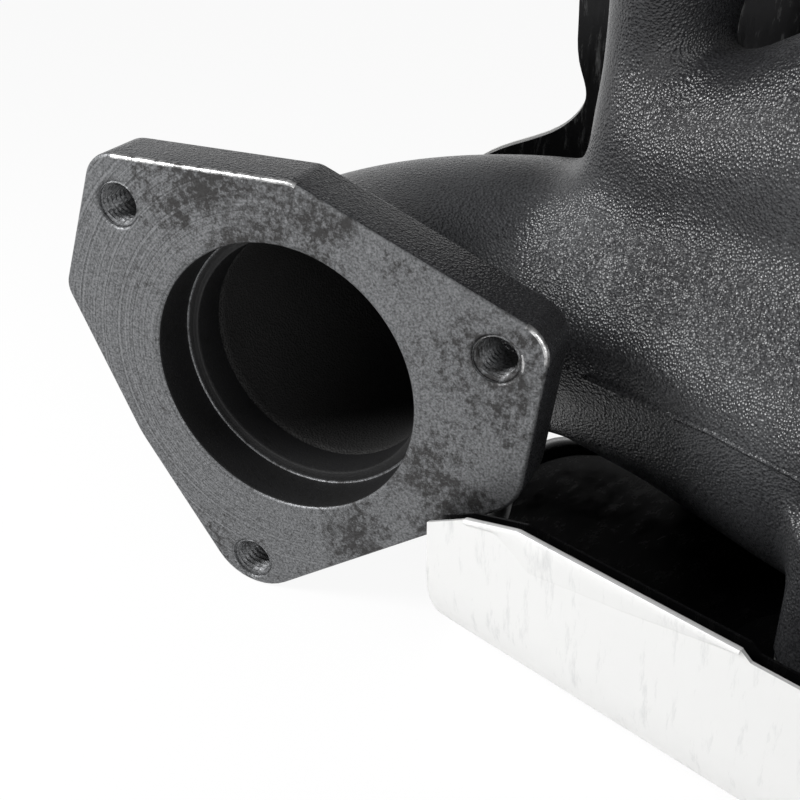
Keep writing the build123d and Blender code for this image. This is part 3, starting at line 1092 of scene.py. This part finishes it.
        # the root of every pad and of the flange flares out as the pattern draws it
        depth = points @ -OUTLET_NORMAL
        flare = np.clip(1 - (depth - self.flange_thickness) / self.root_fillet, 0, 1) ** 2
        zone_x, zone_y = self.flange_zone
        body = body - flare * self.root_fillet * ((x < zone_x) & (y < zone_y))
        front = self.flange_thickness - self.flange_lap - depth
        body = np.where(x < zone_x, np.maximum(body, front), body)
        top = np.clip(1 - (self.head_z - self.pad_thickness - z) / self.root_fillet, 0, 1) ** 2
        body = body - top * self.pad_fillet
        for bx, bz in self.rear_bosses:
            body = self.add_boss(body, np.hypot(x - bx, z - bz), y, self.rear_boss_y)
        for bx, by in self.pan_bosses:
            body = self.add_boss(body, np.hypot(x - bx, y - by), z, self.pan_boss_z)
        return np.maximum(body, z - (self.head_z - self.pad_lap))

    def add_boss(self, body: Array, away: Array, height: Array, ends: Pair) -> Array:
        """Joins a round boss to the body.

        Args:
            body: distances from the body so far.
            away: distances from the boss's axis.
            height: places along that axis.
            ends: where the boss begins and ends on it.

        Returns:
            Distances from the body with its boss.
        """
        low, high = ends
        boss = np.maximum(away - self.boss_r, np.maximum(height - high, low - height))
        return smooth_min(body, boss, self.boss_blend)

    def inside(self, points: Array) -> Array:
        """Returns the distance from the gas passages.

        Args:
            points: places in millimetres, one row each.

        Returns:
            Millimetres, negative in the gas.
        """
        passages = np.min([duct.distance(points) for duct in self.ducts], axis=0) + self.wall
        depth = points @ -OUTLET_NORMAL
        across = np.hypot(points @ OUTLET_RIGHT, points[:, 2]) - (self.bore_r + self.bore_spare)
        start, end = self.bore_cut
        bore = np.maximum(across, np.abs(depth - (start + end) / 2) - (end - start) / 2)
        return np.minimum(passages, bore)

    def distance(self, points: Array) -> Array:
        """Returns the distance from the metal, negative in it."""
        return np.maximum(self.outside(points), -self.inside(points))

    def build_body(self, cast: Material, sooted: Material) -> Piece:
        """Meshes the cast body.

        Args:
            cast: its as-cast finish.
            sooted: the finish of the gas passages.

        Returns:
            The piece, which stands for the CAD casting.
        """
        low, high = np.array(self.grid_low), np.array(self.grid_high)
        grid = self.grid
        shape = [int(n) for n in (high - low) / grid]
        axes = [low[n] + grid * np.arange(shape[n]) for n in range(3)]
        values = []
        for start in range(0, shape[0], SLABS_AT_ONCE):
            slab = axes[0][start:start + SLABS_AT_ONCE]
            block = np.meshgrid(slab, axes[1], axes[2], indexing="ij")
            places = np.stack(block, axis=-1).reshape(-1, 3)
            values.append(self.distance(places).reshape(-1, shape[1], shape[2]))
        points, quads = surface_net(np.concatenate(values).astype(np.float32), low, grid)
        points = self.relax(points)
        piece = add_piece("casting_body", points, quads.tolist(), cast)
        piece.data.materials.append(sooted)
        inner = np.abs(self.inside(points[quads].mean(axis=1))) < self.soot_reach
        piece.data.polygons.foreach_set("material_index", inner.astype(np.int32))
        return settle(piece, Slot.IRON, "manifold_casting")

    def relax(self, points: Array) -> Array:
        """Pulls grid vertices onto the true surface.

        Args:
            points: places near the surface, one row each.

        Returns:
            The same vertices, moved.
        """
        nudge, furthest, least = 0.4, 0.6, 0.25
        for _ in range(2):
            here = self.distance(points)
            ahead = [self.distance(points + nudge * np.eye(3)[n]) for n in range(3)]
            slope = np.stack([(there - here) / nudge for there in ahead], axis=1)
            size = np.maximum((slope**2).sum(axis=1), least)
            step = np.clip(here / size, -furthest, furthest)
            points = points - slope * step[:, None]
        return points

    def build_flange(
        self, turned: Material, cast: Material, bored: Material, rubbed: Material
    ) -> None:
        """Makes the outlet flange with its pilot bore, ledge and tapped holes.

        Args:
            turned: the finish of the machined face.
            cast: the finish of the sides and back.
            bored: the finish of the bore, soot-black and darkened further as painted shade.
            rubbed: the finish of the stretches of top edge that handling has worn bright and that
                carry a painted highlight of the light from above.
        """
        place = Matrix.Identity(4)
        for n, axis in enumerate((OUTLET_RIGHT, UP, OUTLET_NORMAL)):
            place.col[n].xyz = axis
        holes = []
        for i in range(3):
            angle = radians(self.stud_start + 120 * i)
            holes.append((self.stud_circle_r * cos(angle), self.stud_circle_r * sin(angle)))
        outlines = [filleted(self.flange_corners, self.flange_radii)]
        outlines.append(round_outline((0, 0), self.pilot_r, self.pilot_r, self.bore_sides))
        mouth_r = self.tap_r + self.thread_depth + self.mouth_spare
        outlines += [round_outline(hole, mouth_r, mouth_r) for hole in holes]
        mesh = plate_mesh(outlines, self.flange_thickness, self.flange_edge, place)
        for finish in (turned, cast, bored, rubbed):
            mesh.materials.append(finish)
        bore_reach = self.pilot_r + 0.5
        for face in mesh.polygons:
            centre = np.array(face.center) / MM
            across = centre @ OUTLET_RIGHT
            inner = np.hypot(across, centre[2]) < bore_reach
            facing = Vector(OUTLET_NORMAL).dot(face.normal)
            # top edges take the rubbed finish: partly handling wear, partly a painted highlight
            worn = any(
                low < across < high and centre[2] > base for low, high, base in self.worn_and_highlit_edges
            )
            edge = EDGE < facing < FLAT and worn
            face.material_index = 3 if edge else 0 if facing > FACING else 2 if inner else 1
            face.use_smooth = abs(facing) < FLAT
        settle(link_new("casting_outlet_flange", mesh), Slot.IRON)
        self.add_ledge(bored, turned)
        for number, hole in enumerate(holes, 1):
            self.add_thread(number, hole, turned)

    def add_ledge(self, bored: Material, turned: Material) -> None:
        """Adds the ledge that the pilot bore ends on, its bright corner and the bore behind it.

        Args:
            bored: the finish of the ledge and the bore, soot-black and darkened further as painted
                shade.
            turned: the finish of the corner, rubbed bright.
        """
        pilot, r, depth = self.pilot_r, self.bore_r, self.pilot_depth
        corner = (
            (pilot + 0.3, depth - 0.5), (pilot - 0.07, depth - 0.45), (pilot - 0.45, depth - 0.05),
            (pilot + 0.3, depth + 0.3),
        )
        ledge = (
            (pilot + 1.2, depth), (r + 0.7, depth), (r + 0.2, depth + 0.2), (r, depth + 0.7),
            (r, depth + 9), (r + 1.6, depth + 11), (pilot + 1.2, depth + 9),
        )
        rings = [
            [[out * reach - OUTLET_NORMAL * deep for reach, deep in profile]
             for _, out in outlet_spokes(self.bore_sides)]
            for profile in (corner, ledge)
        ]
        add_skinned("casting_pilot_corner", rings[0], turned, Slot.IRON, ring=True)
        add_skinned("casting_bore_ledge", rings[1], bored, Slot.IRON, ring=True, crisp=35.0)

    def add_thread(self, number: int, hole: Pair, turned: Material) -> None:
        """Adds one tapped hole's thread.

        Args:
            number: the hole's number, for its name.
            hole: its place in the flange's plane.
            turned: the finish of the cut metal.
        """
        lead_in, lead_out = self.thread_lead

        def groove(angle: float, distance: float) -> float:
            """Returns how far the thread is cut at an angle and a distance from the face."""
            if distance < lead_in or distance > self.flange_thickness - lead_out:
                return self.thread_depth
            phase = (distance / self.thread_pitch - angle / tau) % 1.0
            return self.thread_depth * (1 - abs(2 * phase - 1))

        step = self.thread_pitch / self.thread_rows
        rows = np.arange(0.3, self.flange_thickness - 0.1, step)
        outer_r = self.tap_r + self.thread_depth + self.thread_skin
        origin = OUTLET_RIGHT * hole[0] + UP * hole[1]
        sections = []
        for angle, out in outlet_spokes(self.thread_sides):
            profile = [(self.tap_r + groove(angle, float(d)), float(d)) for d in rows]
            profile += [(outer_r, rows[-1]), (outer_r, rows[0] + 0.6)]
            sections.append([origin + out * r - OUTLET_NORMAL * d for r, d in profile])
        name = f"casting_stud_thread_{number}"
        add_skinned(name, sections, turned, Slot.IRON, ring=True, crisp=50.0)

    def build_pads(self, turned: Material, cast: Material) -> None:
        """Makes the four head pads, milled flat on top.

        Args:
            turned: the finish of the milled top.
            cast: the finish of the sides.
        """
        for number, port_x in enumerate(self.port_xs(), 1):
            left, right = port_x - self.pad_ear, port_x + self.pad_ear
            low, high = self.port_y - self.pad_waist, self.port_y + self.pad_waist
            outline = hull_of_circles((
                (left, self.port_y, self.pad_ear_r), (right, self.port_y, self.pad_ear_r),
                (port_x, low, self.pad_waist), (port_x, high, self.pad_waist),
            ))
            outlines = [outline, round_outline((port_x, self.port_y), *self.port_half, 64)]
            for x in (left, right):
                bolt_r = self.head_bolt_r
                outlines.append(round_outline((x, self.port_y), bolt_r, bolt_r, 32))
            place = Matrix.Translation((0, 0, self.head_z * MM))
            mesh = plate_mesh(outlines, self.pad_thickness, self.pad_edge, place)
            mesh.materials.append(turned)
            mesh.materials.append(cast)
            for face in mesh.polygons:
                face.material_index = 0 if face.normal.z > 0.5 else 1
                face.use_smooth = abs(face.normal.z) < FLAT
            settle(link_new(f"casting_head_pad_{number}", mesh), Slot.IRON)

    def build_parting_line(self, cast: Material) -> None:
        """Adds the ground-off fin where the two halves of the mould met.

        Args:
            cast: its finish, the same as the body's.
        """
        fin_xs, fin_zs = self.fin_run
        xs = np.arange(float(fin_xs[0]), float(fin_xs[-1]), 2.0)
        zs = np.interp(xs, fin_xs, fin_zs)
        y = np.full(len(xs), self.log_front)
        for _ in range(14):
            y += self.outside(np.stack((xs, y, zs), axis=1))
        # grinding by hand leaves it uneven, and tallest beside the flange, out of the wheel's reach
        uneven = 0.35 * np.sin(xs * 0.31) * np.sin(xs * 0.083)
        height = 0.6 + uneven + 0.5 * np.clip((62 - xs) / 16, 0, 1)
        sections = []
        for x, front, z, tall in zip(xs, y, zs, height):
            outs = [(down, out * tall if out < 0 else out) for down, out in self.fin_section]
            sections.append([(x, front + out, z - down) for down, out in outs])
        add_skinned("casting_parting_fin", sections, cast, Slot.IRON)


# ---------------------------------------------------------------------------- heat shield


@dataclass
class HeatShield:
    """The trough under the log and the wall behind it, with their trims and fasteners."""

    near_y: float = 8.0
    hem_points: tuple[Pair, ...] = ((49, -17), (63, -13), (113, -13))
    hem_drops: tuple[Pair, ...] = (
        (49, 1.2), (57, 1.6), (66, 8.5), (90, 5.0), (113, 0.8)
    )
    hem_thickness: float = 0.9
    fold_outside: tuple[Pair, ...] = (
        (31, 31), (24, 43), (13, 57), (2.5, 84), (1.5, 101), (14, 112), (30, 121)
    )
    fold_inside: tuple[Pair, ...] = (
        (36, 33), (30, 43), (21, 57), (9, 86), (12, 95), (24, 106), (34, 114)
    )
    fold_low: float = -59.0
    fold_high: float = -54.9
    fold_round: tuple[Pair, ...] = (
        (1.0, -1.0), (0.35, -0.9), (0.05, -0.5), (0.0, 0.0), (0.05, 0.5), (0.35, 0.9), (1.0, 1.0)
    )
    rear_bend_y: float = 107.6
    rear_bend_r: float = 22.0
    sections: int = 60

    def dress(self, finishes: dict[Slot, Material], rear_liner: Material) -> None:
        """Gives every carried-over CAD node its finish.

        Args:
            finishes: record slot name to material.
            rear_liner: the finish of the rear wall's inner skin, lighter than the pan's; its bright
                scuffs are partly painted reflection.
        """
        for entry in frame["record"]["subparts"]:
            node = entry["node"]
            if node == "manifold_casting":
                continue
            made = frame["nodes"][node]
            finish = finishes[Slot(entry["material_slot"])]
            made.data.materials.clear()
            made.data.materials.append(rear_liner if node == "rear_inner_skin" else finish)
            LOG.info("node %s: %s", node, entry["material_slot"])

    def build_hem(self, outer: Material) -> None:
        """Folds the outer skin's rim back on itself along the near wall.

        Args:
            outer: the outer skin's finish.
        """
        xs = np.linspace(self.hem_points[0][0], self.hem_points[-1][0], self.sections)
        zs = np.interp(xs, *zip(*self.hem_points))
        drops = np.interp(xs, *zip(*self.hem_drops))
        out = self.hem_thickness
        sections = []
        for x, z, drop in zip(xs, zs, drops):
            section = (
                (0.1, -drop), (-0.25 * out, -drop + 0.1), (-out, -0.35 * drop), (-out, -0.2),
                (-0.6 * out, 0.35), (0.1, 0.5), (0.7, 0.3), (0.7, -0.4),
            )
            sections.append([(x, self.near_y + dy, z + dz) for dy, dz in section])
        add_skinned("shield_rim_hem", sections, outer, Slot.OUTER_SKIN, crisp=40.0)

    def build_end_fold(self, liner: Material) -> None:
        """Folds the inner skin over the mat along the pan's open end.

        Args:
            liner: the inner skin's finish.
        """
        outside = catmull(np.array([(*p, 0.0) for p in self.fold_outside]), self.sections)
        inside = catmull(np.array([(*p, 0.0) for p in self.fold_inside]), self.sections)
        middle = (self.fold_low + self.fold_high) / 2
        half = (self.fold_high - self.fold_low) / 2
        sections = []
        for out, back in zip(outside, inside):
            section = []
            for share, rise in self.fold_round:
                x, y, _ = out + (back - out) * share
                lift = max(0.0, (y - self.rear_bend_y) / self.rear_bend_r)
                climb = self.rear_bend_r * (1.0 - np.sqrt(max(0.0, 1.0 - lift * lift)))
                section.append((x, y, middle + half * rise + climb))
            sections.append(section)
        add_skinned("shield_end_fold", sections, liner, Slot.INNER_SKIN)


# ---------------------------------------------------------------------------- studio


def background_ray(tree: Tree) -> Socket:
    """Picks out the rays that show the background: seen, mirrored or looked through.

    Args:
        tree: the tree of the world or of the floor.

    Returns:
        A socket that is 1 for such a ray and 0 for one that lights.
    """
    seen = add_node(tree, "LightPath")
    mirrored = add_node(tree, "Math", {
        0: seen.outputs["Is Camera Ray"], 1: seen.outputs["Is Glossy Ray"],
    }, operation="MAXIMUM")
    through = add_node(tree, "Math", {
        0: mirrored.outputs[0], 1: seen.outputs["Is Transmission Ray"],
    }, operation="MAXIMUM")
    return through.outputs[0]


@dataclass(frozen=True)
class Softbox:
    """A square lamp behind cloth, with its place and width in metres and its power in watts."""

    name: str
    place: Point
    size: float
    power: float


@dataclass
class Studio:
    """A pale floor in a pale room, two soft lamps in front of the casting and the camera."""

    floor_z: float = -59.2
    floor_size: float = 6.0
    floor_colour: str = "#F7F7F7"
    floor_glow: float = 0.93
    lamps: tuple[Softbox, ...] = (
        Softbox("left_softbox", (-0.20, -0.328, 0.325), 0.19, 3.2),
        Softbox("right_softbox", (0.84, -0.37, 0.20), 0.45, 2.5),
    )
    lamp_aim: Point = (0.08, 0.05, 0.0)
    camera_place: Point = (180.92, -143.16, 122.04)
    camera_forward: Point = (-0.619, 0.619, -0.4834)
    camera_up: Point = (-0.3418, 0.3418, 0.8754)
    lens: float = 52.4
    sensor: float = 36.0
    clip_start: float = 0.005
    ambient: float = 0.2
    ceiling: float = 0.22

    def build(self) -> None:
        """Makes the floor, the lights, the world and the camera."""
        self.add_floor()
        self.add_world()
        for lamp in self.lamps:
            self.add_lamp(lamp)
        self.add_camera()
        bpy.context.scene.view_settings.view_transform = "Standard"

    def add_floor(self) -> None:
        """Adds the plain floor, which looks white to the camera and keeps the shadow."""
        half = self.floor_size / 2 / MM
        sides = ((-half, -half), (half, -half), (half, half), (-half, half))
        corners = np.array([(x, y, self.floor_z) for x, y in sides])
        material = bpy.data.materials.new("studio_floor")
        material.use_nodes = True
        tree = material.node_tree
        tree.nodes.clear()
        matt = add_node(tree, "BsdfDiffuse", {"Color": linear(self.floor_colour)})
        white = add_node(tree, "Emission", {"Color": WHITE, "Strength": 1.0})
        share = add_node(tree, "Math", {
            0: background_ray(tree), 1: self.floor_glow,
        }, operation="MULTIPLY")
        mixed = add_node(tree, "MixShader", {
            0: share.outputs[0], 1: matt.outputs[0], 2: white.outputs[0],
        })
        add_node(tree, "OutputMaterial", {"Surface": mixed.outputs[0]})
        floor = add_piece("studio_floor", corners, [(0, 1, 2, 3)], material, smooth=False)

    def add_world(self) -> None:
        """Adds the even light of a white studio."""
        world = bpy.data.worlds.new("studio")
        world.use_nodes = True
        tree = world.node_tree
        tree.nodes.clear()
        place = add_node(tree, "TexCoord")
        axes = add_node(tree, "SeparateXYZ", {0: place.outputs["Generated"]})
        wall = add_node(tree, "MapRange", {
            "Value": axes.outputs["Z"], "From Min": 0.1, "From Max": 0.5, "To Min": 1.0,
            "To Max": self.ceiling,
        }, interpolation_type="SMOOTHSTEP")
        level = add_node(tree, "MapRange", {
            "Value": background_ray(tree), "To Min": self.ambient, "To Max": wall.outputs[0],
        })
        light = add_node(tree, "Background", {
            "Color": WHITE, "Strength": level.outputs[0],
        })
        add_node(tree, "OutputWorld", {"Surface": light.outputs[0]})
        bpy.context.scene.world = world

    def add_lamp(self, lamp: Softbox) -> None:
        """Adds one softbox aimed at the casting.

        Args:
            lamp: its name, place, size and power.
        """
        data = bpy.data.lights.new(lamp.name, "AREA")
        data.size = lamp.size
        data.energy = lamp.power
        made = link_new(lamp.name, data)
        made.location = lamp.place
        aim = Vector(self.lamp_aim) - Vector(lamp.place)
        made.rotation_euler = aim.to_track_quat("-Z", "Y").to_euler()

    def add_camera(self) -> None:
        """Adds the camera."""
        data = bpy.data.cameras.new("camera")
        data.lens = self.lens
        data.sensor_width = self.sensor
        data.clip_start = self.clip_start
        camera = link_new("camera", data)
        back = -Vector(self.camera_forward).normalized()
        up = Vector(self.camera_up).normalized()
        right = up.cross(back).normalized()
        turn = Matrix((right, back.cross(right), back)).transposed()
        camera.matrix_world = Matrix.Translation(Vector(self.camera_place) * MM) @ turn.to_4x4()
        bpy.context.scene.camera = camera


def main() -> None:
    """Builds every piece in order, dresses the CAD nodes and sets the studio."""
    logging.basicConfig(level=logging.INFO, format="%(name)s: %(message)s")
    cast = SandCastIron().build()
    turned = TurnedIron().build()
    finishes = {
        Slot.IRON: cast,
        Slot.OUTER_SKIN: ALUMINISED.build(),
        Slot.INNER_SKIN: LINER.build(),
        Slot.MAT: FibreMat().build(),
        Slot.PLATED: PlatedSteel().build(),
        Slot.WIRE: KnittedWire().build(),
    }
    casting = ManifoldCasting()
    casting.build_body(cast, SOOTED_CAST.build())
    casting.build_flange(turned, cast, SOOT_AND_SHADE_TURNED.build(), EDGE_WEAR_AND_HIGHLIGHT.build())
    casting.build_pads(turned, cast)
    casting.build_parting_line(cast)
    shield = HeatShield()
    shield.dress(finishes, REAR_LINER_SCUFF_AND_REFLECTION.build())
    shield.build_hem(finishes[Slot.OUTER_SKIN])
    shield.build_end_fold(finishes[Slot.INNER_SKIN])
    Studio().build()


if __name__ == "__main__":
    main()
